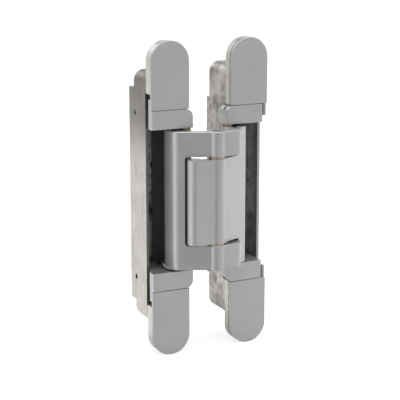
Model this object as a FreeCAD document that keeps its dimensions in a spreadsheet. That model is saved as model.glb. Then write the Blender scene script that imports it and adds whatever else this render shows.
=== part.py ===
import FreeCAD, Part
import math
import os

# Concealed door hinge, open at 180 degrees, seen from the front along +Y.
# X runs across both leaves, Y runs into the frame and the door, Z runs up.
# Y = 0 is the front plane of the covers, X = 0 lies midway between the leaves.
# The frame leaf is on the -X side and the door leaf on the +X side.

os.makedirs("parts", exist_ok=True)
doc = FreeCAD.newDocument("concealed_hinge")
Vector = FreeCAD.Vector
UP = Vector(0, 0, 1)

# Sizes in millimetres and degrees
DRIVING = (
    ("overcut", 1.0, "cutting shapes reach this far past the metal"),
    ("leaf_width", 22.0, "width of a leaf and of its covers"),
    ("leaf_gap", 25.0, "gap between the two leaves when the hinge is open flat"),
    ("arm_height", 75.8, "height of both arms"),
    ("washer_thickness", 1.2, "washers and slide plates"),
    ("axial_play", 0.05, "play on each face of a washer"),
    ("block_height", 10.1, "height of the visible bar of a pivot block"),
    ("seam_gap", 0.2, "gap between a block and its cover"),
    ("cover_length", 36.5, "length of a cover"),
    ("cover_thickness", 1.5, "thickness of a cover plate"),
    ("cover_rounding", 0.35, "rounding of the front edge of a cover"),
    ("cover_peg_radius", 1.2, "pegs that hold a cover"),
    ("cover_peg_length", 3.0, "length of a cover peg"),
    ("far_peg_offset", 1.6, "far peg beyond the end body"),
    ("flange_back", 6.9, "depth of the flange's back face"),
    ("end_margin", 15.0, "flange length beyond the door casing's end body"),
    ("frame_end_short", 1.9, "frame casing's end body short of the door casing's"),
    ("end_corner", 6.0, "corner radius of the end body"),
    ("frame_end_depth", 23.2, "depth of the frame casing near its ends"),
    ("door_end_depth", 26.8, "depth of the door casing near its ends"),
    ("frame_deep_margin", 26.7, "from the leaf's end to the deep part of the frame casing"),
    ("door_deep_margin", 35.3, "from the leaf's end to the deep part of the door casing"),
    ("frame_depth", 29.9, "full depth of the frame casing"),
    ("frame_floor", 1.2, "back wall of the frame casing"),
    ("door_floor", 1.4, "back wall of the door casing"),
    ("case_wall", 1.5, "side wall of a casing"),
    ("cavity_play", 0.3, "room above a block inside its casing"),
    ("outer_recess", 8.0, "front of the outer side wall between the covers"),
    ("inner_recess", 9.6, "front of the inner side wall between the covers"),
    ("tongue_room", 8.6, "length of the tongue recess under a cover"),
    ("door_ear_length", 7.0, "outer wall of the door casing beside a block, at full height"),
    ("core_length", 5.1, "hollow inside the end body"),
    ("core_end_wall", 1.7, "wall at the far end of that hollow"),
    ("fixing_hole_inset", 7.0, "from the leaf's end to its wood screw hole"),
    ("fixing_hole_radius", 2.3, "wood screw hole in the flange"),
    ("fixing_sink", 1.9, "countersink of that hole"),
    ("side_hole_radius", 1.5, "hole in the outer wall of the frame casing"),
    ("side_hole_depth", 22.3, "depth of that hole behind the front plane"),
    ("side_hole_below", 3.3, "from the top of the block to that hole"),
    ("frame_block_proud", 2.2, "frame block beyond the casing's inner edge"),
    ("frame_block_inset", 0.4, "frame block behind the casing's outer side"),
    ("frame_bar_depth", 8.0, "depth of the frame block's bar"),
    ("door_block_proud", 2.6, "door block beyond the casing's inner edge"),
    ("door_block_inset", 2.8, "door block behind the casing's outer side"),
    ("door_bar_depth", 9.0, "depth of the door block's bar"),
    ("bar_outer_depth", 4.8, "depth of a block at its outer end"),
    ("block_rounding", 4.0, "rounded corner of a block beside its cover"),
    ("block_edge", 0.3, "small rounding on a block's front edges"),
    ("block_core_wall", 2.4, "walls round the hollow of a block"),
    ("block_core_side", 6.2, "wall between a block's outer side and its hollow"),
    ("depth_travel", 1.0, "depth adjustment of the frame side"),
    ("side_travel", 0.7, "side adjustment of the door side, each way"),
    ("sliding_gap", 0.2, "gap between an adjusted block and its casing"),
    ("tongue_reach", 5.9, "tongue of a block under its cover"),
    ("tongue_sink", 0.25, "gap between a tongue and the cover"),
    ("frame_tongue_width", 14.3, "width of the frame block's tongue"),
    ("door_tongue_width", 12.0, "width of the door block's tongue"),
    ("adjuster_head_radius", 2.2, "head of an adjusting or clamp screw"),
    ("adjuster_head_height", 1.5, "height of that head"),
    ("adjuster_radius", 1.3, "shank of that screw"),
    ("adjuster_length", 11.5, "length of that screw with its head"),
    ("adjuster_hole_depth", 7.5, "threaded hole behind the tongue"),
    ("socket_radius", 0.9, "hexagon socket of a screw, from its middle to a corner"),
    ("head_socket_depth", 0.9, "depth of the socket in a screw head"),
    ("rod_socket_depth", 1.6, "depth of the socket in a screw without head"),
    ("lock_screw_radius", 1.25, "lock screw behind the side hole"),
    ("lock_screw_length", 5.0, "length of the lock screw"),
    ("side_screw_radius", 1.4, "side adjusting screw of the door block"),
    ("side_screw_length", 7.0, "length of that screw"),
    ("side_screw_depth", 4.0, "depth of that screw behind the front plane"),
    ("side_screw_below", 1.7, "from the top of the block to that screw"),
    ("key_hole_radius", 1.1, "hole for the key in the block's rounded corner"),
    ("pivot_inset", 0.3, "fixed pivot inside the leaf's inner edge"),
    ("pivot_depth", 5.0, "fixed pivot behind the front plane"),
    ("centre_reach", 7.5, "centre pin in front of the front plane"),
    ("closed_gap", 5.0, "gap between the leaves when the hinge is shut"),
    ("slide_inset", 7.5, "sliding pin inside the leaf's inner edge"),
    ("slide_depth", 11.5, "sliding pin behind the front plane"),
    ("pin_radius", 1.6, "pivot pins and sliding pins"),
    ("centre_pin_radius", 2.0, "centre pin"),
    ("centre_pin_sink", 0.3, "ends of the centre pin below the arm"),
    ("dimple_radius", 1.1, "dimple in the ends of the centre pin"),
    ("dimple_depth", 0.8, "depth of that dimple"),
    ("running_clearance", 0.04, "radial clearance of a turning pin"),
    ("fixed_clearance", 0.01, "radial clearance of a fixed pin"),
    ("slot_clearance", 0.4, "clearance of a sliding pin in its guide"),
    ("pivot_engagement", 6.0, "pivot pin inside a block"),
    ("slide_engagement", 2.2, "sliding pin inside its guide"),
    ("guide_thickness", 2.5, "end plates of a guide"),
    ("guide_outer", 13.3, "outer side of a guide from the leaf's inner edge"),
    ("guide_front", 9.1, "front of a guide's end plates"),
    ("guide_web_outer", 10.0, "outer side of the guide's web from the leaf's inner edge"),
    ("guide_web", 0.8, "thickness of the guide's web"),
    ("leg_thickness", 4.4, "leg of an arm inside its leaf"),
    ("outer_leg_side", 10.0, "outer arm's leg from the leaf's inner edge, at the front plane"),
    ("inner_leg_side", 8.7, "inner arm's leg from the leaf's inner edge, at the front plane"),
    ("leg_side_slope", 12.5, "slope of a leg's outer side"),
    ("leg_side_end", 6.5, "depth behind the front plane where that side ends"),
    ("leg_corner", 3.8, "rounded corner between leg and plate"),
    ("leg_inner_corner", 2.0, "the same corner behind the plate"),
    ("plate_thickness", 4.6, "plate of an arm"),
    ("outer_plate_slope", 24.4, "slope of the outer arm's plate"),
    ("inner_plate_slope", 26.0, "slope of the inner arm's plate"),
    ("plate_end", 2.5, "end of a plate's face inside the knuckle, from the middle"),
    ("plate_front", 10.8, "that end in front of the front plane"),
    ("knuckle_radius", 4.9, "round knuckle on the centre pin"),
    ("hook_start", 2.3, "start of a hook's face inside the knuckle, from the middle"),
    ("hook_front", 11.5, "that start in front of the front plane"),
    ("hook_slope", 3.5, "slope of a hook's face"),
    ("hook_thickness", 4.2, "thickness of a hook behind its face"),
    ("hook_neck", 3.8, "neck between a hook and its pivot barrel"),
    ("neck_rounding", 1.5, "rounding between a hook and its neck"),
    ("nose_radius", 4.0, "round nose at the end of a hook"),
    ("nose_overhang", 1.2, "nose beyond its neck"),
    ("lug_reach", 14.8, "end of the noses of the outer arm's lugs"),
    ("hook_reach", 16.7, "end of the nose of the inner arm's hook"),
    ("lug_passing", 0.3, "gap between a lug and the notch that it passes"),
    ("window_passing", 0.3, "gap between the inner arm's hook and the window"),
    ("window_height", 48.8, "height of the outer arm's window"),
    ("window_corner", 1.5, "rounded corners of the window"),
    ("barrel_wall", 1.0, "metal round a bush"),
    ("slide_wall", 0.5, "metal round a sliding pin"),
    ("bush_wall", 0.6, "wall of a bush"),
    ("centre_washer_inset", 0.5, "centre washers behind the knuckle's surface"),
    ("pivot_washer_inset", 0.1, "pivot washers behind the barrel's surface"),
    ("arm_edge", 0.2, "small bevel along the rims of an arm"),
    ("slide_plate_margin", 1.15, "slide plate beyond its pin"),
    ("slide_plate_rim", 0.6, "slide plate beyond the leg's outer side"),
    ("slide_plate_front", 1.2, "front of a slide plate"),
    ("slide_plate_corner", 0.8, "rounded corners of a slide plate"),
)

# Sizes that follow from the driving ones
WORKED_OUT = (
    ("leaf_edge", "leaf_gap / 2", "inner edge of a leaf"),
    ("leaf_middle", "leaf_gap / 2 + leaf_width / 2", "middle of a leaf"),
    ("leaf_outer", "leaf_gap / 2 + leaf_width", "outer side of a leaf"),
    ("arm_half", "arm_height / 2", "end of the arms"),
    ("block_face", "arm_height / 2 + washer_thickness + 2 * axial_play", "block's face beside the arms"),
    ("block_top", "block_face + block_height", "far end of a block's bar"),
    ("cover_edge", "block_top + seam_gap", "cover's edge beside the block"),
    ("half_height", "cover_edge + cover_length", "end of a leaf"),
    ("cavity_half", "block_top + cavity_play", "end of the cavity"),
    ("tongue_top", "block_top + tongue_reach", "end of a block's tongue"),
    ("tongue_end", "cover_edge + tongue_room", "end of the tongue recess"),
    ("tongue_front", "cover_thickness + tongue_sink", "front of a tongue"),
    ("end_half", "half_height - end_margin", "end of the end body"),
    ("cavity_depth", "frame_depth - frame_floor", "depth of both cavities"),
    ("door_depth", "cavity_depth + door_floor", "full depth of the door casing"),
    ("guide_back", "cavity_depth - depth_travel - 2 * axial_play", "back of guides and blocks"),
    ("guide_inner", "case_wall + side_travel + sliding_gap", "inner side of a guide from the leaf's edge"),
    ("window_half", "window_height / 2", "half of the window"),
    ("tongue_half", "window_half - washer_thickness - 2 * axial_play", "half of the inner arm's hook"),
    ("pivot_x", "leaf_edge + pivot_inset", "fixed pivot from the middle"),
    ("slide_x", "leaf_edge + slide_inset", "sliding pin from the middle"),
    ("bush_radius", "pin_radius + running_clearance + bush_wall", "outside of a bush"),
    ("pivot_barrel", "bush_radius + fixed_clearance + barrel_wall", "outside of a pivot barrel"),
    ("slide_barrel", "pin_radius + fixed_clearance + slide_wall", "outside of a slide barrel"),
    ("window_edge", "hook_reach + window_passing", "outer edge of the window"),
    ("notch_edge", "lug_reach + lug_passing", "outer edge of the notches"),
    ("adjuster_z", "block_top + tongue_reach / 2", "height of an adjusting screw"),
    ("adjuster_front", "tongue_front + sliding_gap", "front of its head"),
    ("side_hole_z", "block_top - side_hole_below", "height of the side hole"),
    ("side_screw_z", "block_top - side_screw_below", "height of the side adjusting screw"),
    ("fixing_z", "half_height - fixing_hole_inset", "height of the wood screw hole"),
    ("frame_end_half", "end_half - frame_end_short", "end of the frame casing's end body"),
    ("core_low", "frame_end_half - core_end_wall - core_length", "near end of the end body's hollow"),
)

sheet = doc.addObject("Spreadsheet::Sheet", "Sizes")
row = 0
for alias, number, meaning in DRIVING:
    row += 1
    sheet.set("A%d" % row, meaning)
    sheet.set("B%d" % row, str(number))
    sheet.setAlias("B%d" % row, alias)
for alias, formula, meaning in WORKED_OUT:
    row += 1
    sheet.set("A%d" % row, meaning)
    sheet.set("B%d" % row, "=" + formula)
    sheet.setAlias("B%d" % row, alias)
doc.recompute()


def size(alias):
    return float(sheet.get(alias))


# Linkage: the inner arm turns on the frame pivot, both arms turn on the
# centre pin, and the outer arm carries the door pivot. The far end of each
# arm slides in a curved guide inside the other leaf.
def turned(point, pivot, degrees):
    turn = FreeCAD.Rotation(UP, degrees)
    return pivot + turn.multVec(point - pivot)


def heading(vector):
    return math.degrees(math.atan2(vector.y, vector.x))


frame_pivot = Vector(-size("pivot_x"), size("pivot_depth"), 0)
centre_open = Vector(0, -size("centre_reach"), 0)
slide_open = Vector(-size("slide_x"), size("slide_depth"), 0)
arm_reach = (centre_open - frame_pivot).Length
closed_drop = size("closed_gap") / 2 + size("pivot_depth")
closed_side = math.sqrt(arm_reach ** 2 - closed_drop ** 2)
centre_closed = frame_pivot + Vector(-closed_side, -closed_drop, 0)
pivot_turn = (heading(centre_open - frame_pivot) - heading(centre_closed - frame_pivot)) % 360
outer_arm_turn = 180 - pivot_turn


def slide_point(share):
    # place of the outer arm's sliding pin, seen from the frame leaf
    centre = turned(centre_open, frame_pivot, -pivot_turn * share)
    carried = centre + (slide_open - centre_open)
    return turned(carried, centre, -outer_arm_turn * share)


print("frame pivot turns %.3f, centre pin turns %.3f degrees" % (pivot_turn, pivot_turn - outer_arm_turn))
print("shut, the sliding pin is at", slide_point(1.0), "and the centre pin at", centre_closed)


# Outlines
def leaf_x(side, inward):
    # side is -1 on the frame leaf and 1 on the door leaf
    return side * (size("leaf_middle") - inward)


def rounded_outline(corners):
    # corners are (x, y) or (x, y, radius) and the outline is closed
    shape = []
    count = len(corners)
    starts = []
    ends = []
    for index in range(count):
        here = Vector(corners[index][0], corners[index][1], 0)
        radius = corners[index][2] if len(corners[index]) > 2 else 0
        if not radius:
            starts.append(here)
            ends.append(here)
            shape.append(None)
            continue
        before = Vector(corners[index - 1][0], corners[index - 1][1], 0)
        after = Vector(corners[(index + 1) % count][0], corners[(index + 1) % count][1], 0)
        to_before = (before - here).normalize()
        to_after = (after - here).normalize()
        half = to_before.getAngle(to_after) / 2
        leg = radius / math.tan(half)
        middle = here + (to_before + to_after).normalize() * (radius / math.sin(half))
        first = here + to_before * leg
        last = here + to_after * leg
        crown = middle + (here - middle).normalize() * radius
        starts.append(first)
        ends.append(last)
        shape.append(Part.Arc(first, crown, last))
    outline = []
    for index in range(count):
        if shape[index]:
            outline.append(shape[index])
        following = starts[(index + 1) % count]
        if (following - ends[index]).Length > 1e-6:
            outline.append(Part.LineSegment(ends[index], following))
    return outline


def box_outline(x_one, x_two, y_one, y_two, radius=0):
    corners = [(x_one, y_one), (x_two, y_one), (x_two, y_two), (x_one, y_two)]
    if radius:
        corners = [corner + (radius,) for corner in corners]
    return rounded_outline(corners)


def circle_outline(x, y, radius):
    return [Part.Circle(Vector(x, y, 0), UP, radius)]


def fixed_pin_hole():
    return size("pin_radius") + size("fixed_clearance")


def slot_outline(x_one, x_two, y, radius):
    if near(x_one, x_two):
        return circle_outline(x_one, y, radius)
    left = min(x_one, x_two)
    right = max(x_one, x_two)
    return [
        Part.LineSegment(Vector(left, y - radius, 0), Vector(right, y - radius, 0)),
        Part.Arc(Vector(right, y - radius, 0), Vector(right + radius, y, 0), Vector(right, y + radius, 0)),
        Part.LineSegment(Vector(right, y + radius, 0), Vector(left, y + radius, 0)),
        Part.Arc(Vector(left, y + radius, 0), Vector(left - radius, y, 0), Vector(left, y - radius, 0)),
    ]


# Features
def new_body(label):
    body = doc.addObject("PartDesign::Body", label)
    body.Label = label
    return body


def origin_plane(body, role):
    for feature in body.Origin.OriginFeatures:
        if feature.Role == role + "_Plane":
            return feature
    raise RuntimeError("no plane " + role)


def sketch_on(body, name, plane, start, outlines):
    # start is a formula for the sketch's place along +X, +Y or +Z
    sketch = body.newObject("Sketcher::SketchObject", name)
    sketch.AttachmentSupport = [(origin_plane(body, plane), "")]
    sketch.MapMode = "FlatFace"
    sign = "-" if plane == "XZ" else ""
    sketch.setExpression("AttachmentOffset.Base.z", "%s(%s)" % (sign, start))
    for outline in outlines:
        sketch.addGeometry(outline, False)
    return sketch


def add(body, name, plane, start, length, outlines):
    # length is a formula and runs towards +X, +Y or +Z
    before = body.Shape.Volume if body.Tip else 0
    sketch = sketch_on(body, name + "_sketch", plane, start, outlines)
    feature = body.newObject("PartDesign::Pad", name)
    feature.Profile = sketch
    feature.setExpression("Length", length)
    feature.Reversed = plane == "XZ"
    doc.recompute()
    if body.Shape.Volume <= before:
        raise RuntimeError(name + " adds nothing")
    return feature


def cut(body, name, plane, start, length, outlines):
    before = body.Shape.Volume
    sketch = sketch_on(body, name + "_sketch", plane, start, outlines)
    feature = body.newObject("PartDesign::Pocket", name)
    feature.Profile = sketch
    feature.setExpression("Length", length)
    feature.Reversed = plane != "XZ"
    doc.recompute()
    if body.Shape.Volume >= before:
        raise RuntimeError(name + " cuts nothing")
    return feature


def edges_where(shape, wanted):
    # names of the edges whose ends and middle all pass the test
    names = []
    for number, edge in enumerate(shape.Edges, start=1):
        points = [vertex.Point for vertex in edge.Vertexes]
        points.append(edge.valueAt((edge.FirstParameter + edge.LastParameter) / 2))
        if all(wanted(point) for point in points):
            names.append("Edge%d" % number)
    return names


def dress(body, name, kind, wanted, formula):
    base = body.Tip
    names = edges_where(base.Shape, wanted)
    feature = body.newObject("PartDesign::" + kind, name)
    feature.Base = (base, names)
    feature.setExpression("Radius" if kind == "Fillet" else "Size", formula)
    doc.recompute()
    return feature


def near(one, two):
    return abs(one - two) < 1e-4


def cylinder(name, radius, length, place, axis="Z"):
    # radius, length and the three coordinates of place are formulas
    shape = doc.addObject("Part::Cylinder", name)
    shape.setExpression("Radius", radius)
    shape.setExpression("Height", length)
    turns = {
        "Z": FreeCAD.Rotation(),
        "Y": FreeCAD.Rotation(Vector(1, 0, 0), -90),
        "X": FreeCAD.Rotation(Vector(0, 1, 0), 90),
    }
    shape.Placement = FreeCAD.Placement(Vector(), turns[axis])
    for letter, formula in zip("xyz", place):
        shape.setExpression("Placement.Base." + letter, formula)
    return shape


def socket(name, depth, place, axis):
    shape = doc.addObject("Part::Prism", name)
    shape.Polygon = 6
    shape.setExpression("Circumradius", "Sizes.socket_radius")
    shape.setExpression("Height", depth)
    turns = {"Y": FreeCAD.Rotation(Vector(1, 0, 0), -90), "X": FreeCAD.Rotation(Vector(0, 1, 0), 90)}
    shape.Placement = FreeCAD.Placement(Vector(), turns[axis])
    for letter, formula in zip("xyz", place):
        shape.setExpression("Placement.Base." + letter, formula)
    return shape


def cut_away(name, base, tool):
    result = doc.addObject("Part::Cut", name)
    result.Base = base
    result.Tool = tool
    return result


def fuse(name, shapes):
    result = doc.addObject("Part::MultiFuse", name)
    result.Shapes = shapes
    return result


def mirrored(name, source, normal):
    result = doc.addObject("Part::Mirroring", name)
    result.Source = source
    result.Normal = normal
    return result


def upper_and_lower(name, upper):
    lower = mirrored(name + "_lower", upper, UP)
    pair = doc.addObject("Part::Compound", name)
    pair.Links = [upper, lower]
    return pair


# Covers: a plate with one round end and two pegs
def make_cover(label, side):
    body = new_body(label)
    outer = leaf_x(side, -size("leaf_width") / 2)
    inner = leaf_x(side, size("leaf_width") / 2)
    low = size("cover_edge")
    high = size("half_height")
    round_end = size("leaf_width") / 2
    middle = (outer + inner) / 2
    left = min(outer, inner)
    right = max(outer, inner)
    outline = [
        Part.LineSegment(Vector(left, low, 0), Vector(right, low, 0)),
        Part.LineSegment(Vector(right, low, 0), Vector(right, high - round_end, 0)),
        Part.Arc(Vector(right, high - round_end, 0), Vector(middle, high, 0),
                 Vector(left, high - round_end, 0)),
        Part.LineSegment(Vector(left, high - round_end, 0), Vector(left, low, 0)),
    ]
    add(body, label + "_plate", "XZ", "0", "Sizes.cover_thickness", [outline])
    pegs = [circle_outline(middle, height, size("cover_peg_radius")) for height in peg_heights()]
    add(body, label + "_pegs", "XZ", "Sizes.cover_thickness", "Sizes.cover_peg_length", pegs)
    dress(body, label + "_rounding", "Fillet", lambda p: near(p.y, 0), "Sizes.cover_rounding")
    return body


def peg_heights():
    near_peg = (size("tongue_end") + size("core_low")) / 2
    far_peg = size("end_half") + size("far_peg_offset")
    return [near_peg, far_peg]


# Casings
def make_case(label, side, end_depth, deep_margin, depth):
    body = new_body(label)
    half_width = size("leaf_width") / 2
    wall = size("case_wall")
    outer = leaf_x(side, -half_width)
    inner = leaf_x(side, half_width)
    outer_wall = leaf_x(side, wall - half_width)
    inner_wall = leaf_x(side, half_width - wall)
    beyond_outer = leaf_x(side, -half_width - size("overcut"))
    beyond_inner = leaf_x(side, half_width + size("overcut"))
    middle = leaf_x(side, 0)
    top = size("half_height")
    left = min(outer, inner)
    right = max(outer, inner)
    straight = top - half_width
    flange = [
        Part.LineSegment(Vector(right, -straight, 0), Vector(right, straight, 0)),
        Part.Arc(Vector(right, straight, 0), Vector(middle, top, 0), Vector(left, straight, 0)),
        Part.LineSegment(Vector(left, straight, 0), Vector(left, -straight, 0)),
        Part.Arc(Vector(left, -straight, 0), Vector(middle, -top, 0), Vector(right, -straight, 0)),
    ]
    add(body, label + "_flange", "XZ", "Sizes.cover_thickness",
        "Sizes.flange_back - Sizes.cover_thickness", [flange])
    end = size("frame_end_half") if side < 0 else size("end_half")
    add(body, label + "_end_body", "XZ", "Sizes.flange_back", "Sizes.%s - Sizes.flange_back" % end_depth,
        [box_outline(left, right, -end, end, size("end_corner"))])
    deep = top - size(deep_margin)
    add(body, label + "_deep_body", "XZ", "Sizes." + end_depth, "Sizes.%s - Sizes.%s" % (depth, end_depth),
        [box_outline(left, right, -deep, deep)])

    cavity_half = size("cavity_half")
    cut(body, label + "_cavity", "XZ", "0", "Sizes.cavity_depth",
        [box_outline(outer_wall, inner_wall, -cavity_half, cavity_half)])
    cut(body, label + "_inner_recess", "XZ", "0", "Sizes.inner_recess",
        [box_outline(inner_wall, beyond_inner, -cavity_half, cavity_half)])
    ends = (1, -1)
    if side < 0:
        recess_half = size("tongue_end")
    else:
        recess_half = cavity_half - size("door_ear_length")
    cut(body, label + "_outer_recess", "XZ", "0", "Sizes.outer_recess",
        [box_outline(outer_wall, beyond_outer, -recess_half, recess_half)])
    tongue_outer, tongue_inner = tongue_sides(side)
    room = size("side_travel") + size("sliding_gap")
    if side < 0:
        room_outer = outer_wall
    else:
        room_outer = tongue_outer + side * room
    room_inner = tongue_inner - side * room
    cut(body, label + "_tongue_recess", "XZ", "0", "Sizes.outer_recess",
        [box_outline(room_outer, room_inner, end * cavity_half, end * size("tongue_end")) for end in ends])
    core_low = size("core_low")
    core_high = core_low + size("core_length")
    core_left = left + 2 * wall
    core_right = right - 2 * wall
    cut(body, label + "_core", "XZ", "0", "Sizes.%s - Sizes.core_end_wall" % end_depth,
        [box_outline(core_left, core_right, end * core_low, end * core_high) for end in ends])
    fixing = [circle_outline(middle, end * size("fixing_z"), size("fixing_hole_radius")) for end in ends]
    cut(body, label + "_fixing_holes", "XZ", "0", "Sizes.flange_back + Sizes.overcut", fixing)
    peg_radius = size("cover_peg_radius") + size("fixed_clearance")
    pegs = [circle_outline(middle, end * height, peg_radius) for end in ends for height in peg_heights()]
    cut(body, label + "_peg_holes", "XZ", "0",
        "Sizes.cover_thickness + Sizes.cover_peg_length + Sizes.sliding_gap", pegs)
    screw_radius = size("adjuster_radius") + size("running_clearance")
    screws = [circle_outline(adjuster_x(side), end * size("adjuster_z"), screw_radius) for end in ends]
    cut(body, label + "_screw_holes", "XZ", "Sizes.outer_recess - Sizes.overcut",
        "Sizes.adjuster_hole_depth + Sizes.overcut", screws)
    if side < 0:
        holes = [circle_outline(size("side_hole_depth"), end * size("side_hole_z"), size("side_hole_radius"))
                 for end in ends]
        cut(body, label + "_side_holes", "YZ", "-Sizes.leaf_outer - Sizes.overcut",
            "Sizes.case_wall + Sizes.overcut + Sizes.sliding_gap", holes)

    def at_hole_rim(point):
        height = abs(point.z) - size("fixing_z")
        reach = math.hypot(point.x - middle, height)
        return near(point.y, size("cover_thickness")) and near(reach, size("fixing_hole_radius"))

    dress(body, label + "_countersinks", "Chamfer", at_hole_rim, "Sizes.fixing_sink")
    return body


def tongue_sides(side):
    if side < 0:
        outer = leaf_x(side, size("frame_block_inset") - size("leaf_width") / 2)
        return outer, outer - side * size("frame_tongue_width")
    half = size("door_tongue_width") / 2
    return leaf_x(side, -half), leaf_x(side, half)


def adjuster_x(side):
    outer, inner = tongue_sides(side)
    return (outer + inner) / 2


# Pivot blocks: a visible bar, a body inside the casing and a tongue under the cover
def make_block(label, side, proud, inset, bar_depth, play):
    body = new_body(label)
    half_width = size("leaf_width") / 2
    bar_inner = leaf_x(side, half_width + proud)
    bar_outer = leaf_x(side, inset - half_width)
    inside_outer = leaf_x(side, size("case_wall") + play - half_width)
    inside_inner = leaf_x(side, half_width - size("case_wall") - play)
    back = size("guide_back")
    outer_depth = size("bar_outer_depth")
    bar = [(bar_outer, 0), (bar_inner, 0), (bar_inner, bar_depth), (inside_inner, bar_depth),
           (inside_inner, back), (inside_outer, back)]
    if abs(bar_outer) > abs(inside_outer):
        bar += [(inside_outer, outer_depth), (bar_outer, outer_depth)]
    else:
        bar += [(inside_outer, bar_depth), (bar_outer, bar_depth)]
    add(body, label + "_bar", "XY", "Sizes.block_face", "Sizes.block_height", [rounded_outline(bar)])
    tongue_outer, tongue_inner = tongue_sides(side)
    add(body, label + "_tongue", "XZ", "Sizes.tongue_front", "Sizes.bar_outer_depth - Sizes.tongue_front",
        [box_outline(tongue_outer, tongue_inner, size("block_top") - size("overcut"), size("tongue_top"))])
    dress(body, label + "_corner", "Fillet",
          lambda p: near(p.x, bar_inner) and near(p.z, size("block_top")), "Sizes.block_rounding")

    guide = guide_sides(side)
    slack = size("sliding_gap") / 2
    cut(body, label + "_guide_seat", "XY", "Sizes.block_face - Sizes.overcut",
        "Sizes.guide_thickness + Sizes.axial_play + Sizes.overcut",
        [box_outline(guide[0] + side * slack, guide[1] - side * slack,
                     size("guide_front") - slack, back + size("overcut"))])
    cut(body, label + "_pin_hole", "XY", "Sizes.block_face - Sizes.overcut",
        "Sizes.pivot_engagement + Sizes.axial_play + Sizes.overcut",
        [circle_outline(side * size("pivot_x"), size("pivot_depth"), fixed_pin_hole())])
    wall = size("block_core_wall")
    core_front = bar_depth + wall
    core_low = size("block_face") + size("guide_thickness") + wall
    core_outer = inside_outer - side * size("block_core_side")
    core_inner = inside_inner + side * wall
    cut(body, label + "_core", "XY", str(core_low), "Sizes.block_height",
        [box_outline(core_outer, core_inner, core_front, back - wall)])

    screw_x = adjuster_x(side)
    travel = size("side_travel") if side > 0 else 0
    shank = size("adjuster_radius") + size("sliding_gap")
    head = size("adjuster_head_radius") + size("sliding_gap")
    height = size("adjuster_z")
    cut(body, label + "_screw_hole", "XZ", "0", "Sizes.bar_outer_depth + Sizes.overcut",
        [slot_outline(screw_x - travel, screw_x + travel, height, shank)])
    cut(body, label + "_screw_seat", "XZ", "0", "Sizes.adjuster_front + Sizes.adjuster_head_height",
        [slot_outline(screw_x - travel, screw_x + travel, height, head)])
    if side < 0:
        radius = size("lock_screw_radius") + size("fixed_clearance")
        cut(body, label + "_lock_hole", "YZ", str(inside_outer - size("overcut")),
            "Sizes.lock_screw_length + Sizes.overcut",
            [circle_outline(size("side_hole_depth"), size("side_hole_z"), radius)])
    else:
        radius = size("side_screw_radius") + size("running_clearance")
        place = (size("side_screw_depth"), size("side_screw_z"))
        length = size("side_screw_length") + size("side_travel")
        cut(body, label + "_side_screw_hole", "YZ", str(bar_outer - length), str(length + size("overcut")),
            [circle_outline(place[0], place[1], radius)])
        cut(body, label + "_key_hole", "YZ", str(bar_inner - size("overcut")), str(bar_outer - bar_inner),
            [circle_outline(place[0], place[1], size("key_hole_radius"))])
    dress(body, label + "_edges", "Fillet",
          lambda p: near(p.y, 0) and p.z < size("cover_edge"), "Sizes.block_edge")
    return body


def guide_sides(side):
    edge = size("leaf_edge")
    return side * (edge + size("guide_outer")), side * (edge + size("guide_inner"))


# Guides: two end plates with curved slots, joined by a thin web at the back.
# This is the one in the frame leaf, and the door leaf has its mirror image.
def make_guide(label):
    body = new_body(label)
    outer, inner = guide_sides(-1)
    web_outer = -size("leaf_edge") - size("guide_web_outer")
    back = size("guide_back")
    top = "Sizes.block_face + Sizes.guide_thickness"
    add(body, label + "_web", "XY", "-(%s)" % top, "2 * (%s)" % top,
        [box_outline(web_outer, inner, back - size("guide_web"), back)])
    for end, start in (("upper", "Sizes.block_face"), ("lower", "-(%s)" % top)):
        add(body, label + "_%s_plate" % end, "XY", start, "Sizes.guide_thickness",
            [box_outline(outer, inner, size("guide_front"), back)])
    half = size("pin_radius") + size("slot_clearance")
    # the slot is an arc through three places of the sliding pin
    first, middle, last = [slide_point(share) for share in (0, 0.6, 1)]
    centre = Part.Arc(first, middle, last).toShape().Curve.Center

    def offset(point, amount):
        outwards = (point - centre).normalize()
        return point + outwards * amount

    def cap(point, neighbour):
        away = (point - centre).normalize()
        along = Vector(-away.y, away.x, 0)
        if along.dot(point - neighbour) < 0:
            along = along * -1
        return Part.Arc(offset(point, half), point + along * half, offset(point, -half))

    slot = [
        Part.Arc(offset(first, half), offset(middle, half), offset(last, half)),
        cap(last, middle),
        Part.Arc(offset(last, -half), offset(middle, -half), offset(first, -half)),
        cap(first, middle),
    ]
    for end, start in (("upper", "Sizes.block_face"), ("lower", "-(%s)" % top)):
        cut(body, label + "_%s_slot" % end, "XY", start + " - Sizes.overcut",
            "Sizes.guide_thickness + 2 * Sizes.overcut", [slot])
    return body


# Arms, drawn from above. The outline starts at the leg and follows the plate
# into the knuckle, then the hook into its nose, and comes back along the inner
# faces. The round knuckle, nose and barrels are features of their own.
def leg_side_x(leg_side, depth):
    return size("leaf_edge") + leg_side + depth * math.tan(math.radians(size("leg_side_slope")))


def hook_face(x):
    return -size("hook_front") + (x - size("hook_start")) * math.tan(math.radians(size("hook_slope")))


def nose_centre(reach):
    x = reach - size("nose_radius")
    return x, hook_face(x) + size("nose_radius") / math.cos(math.radians(size("hook_slope")))


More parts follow.
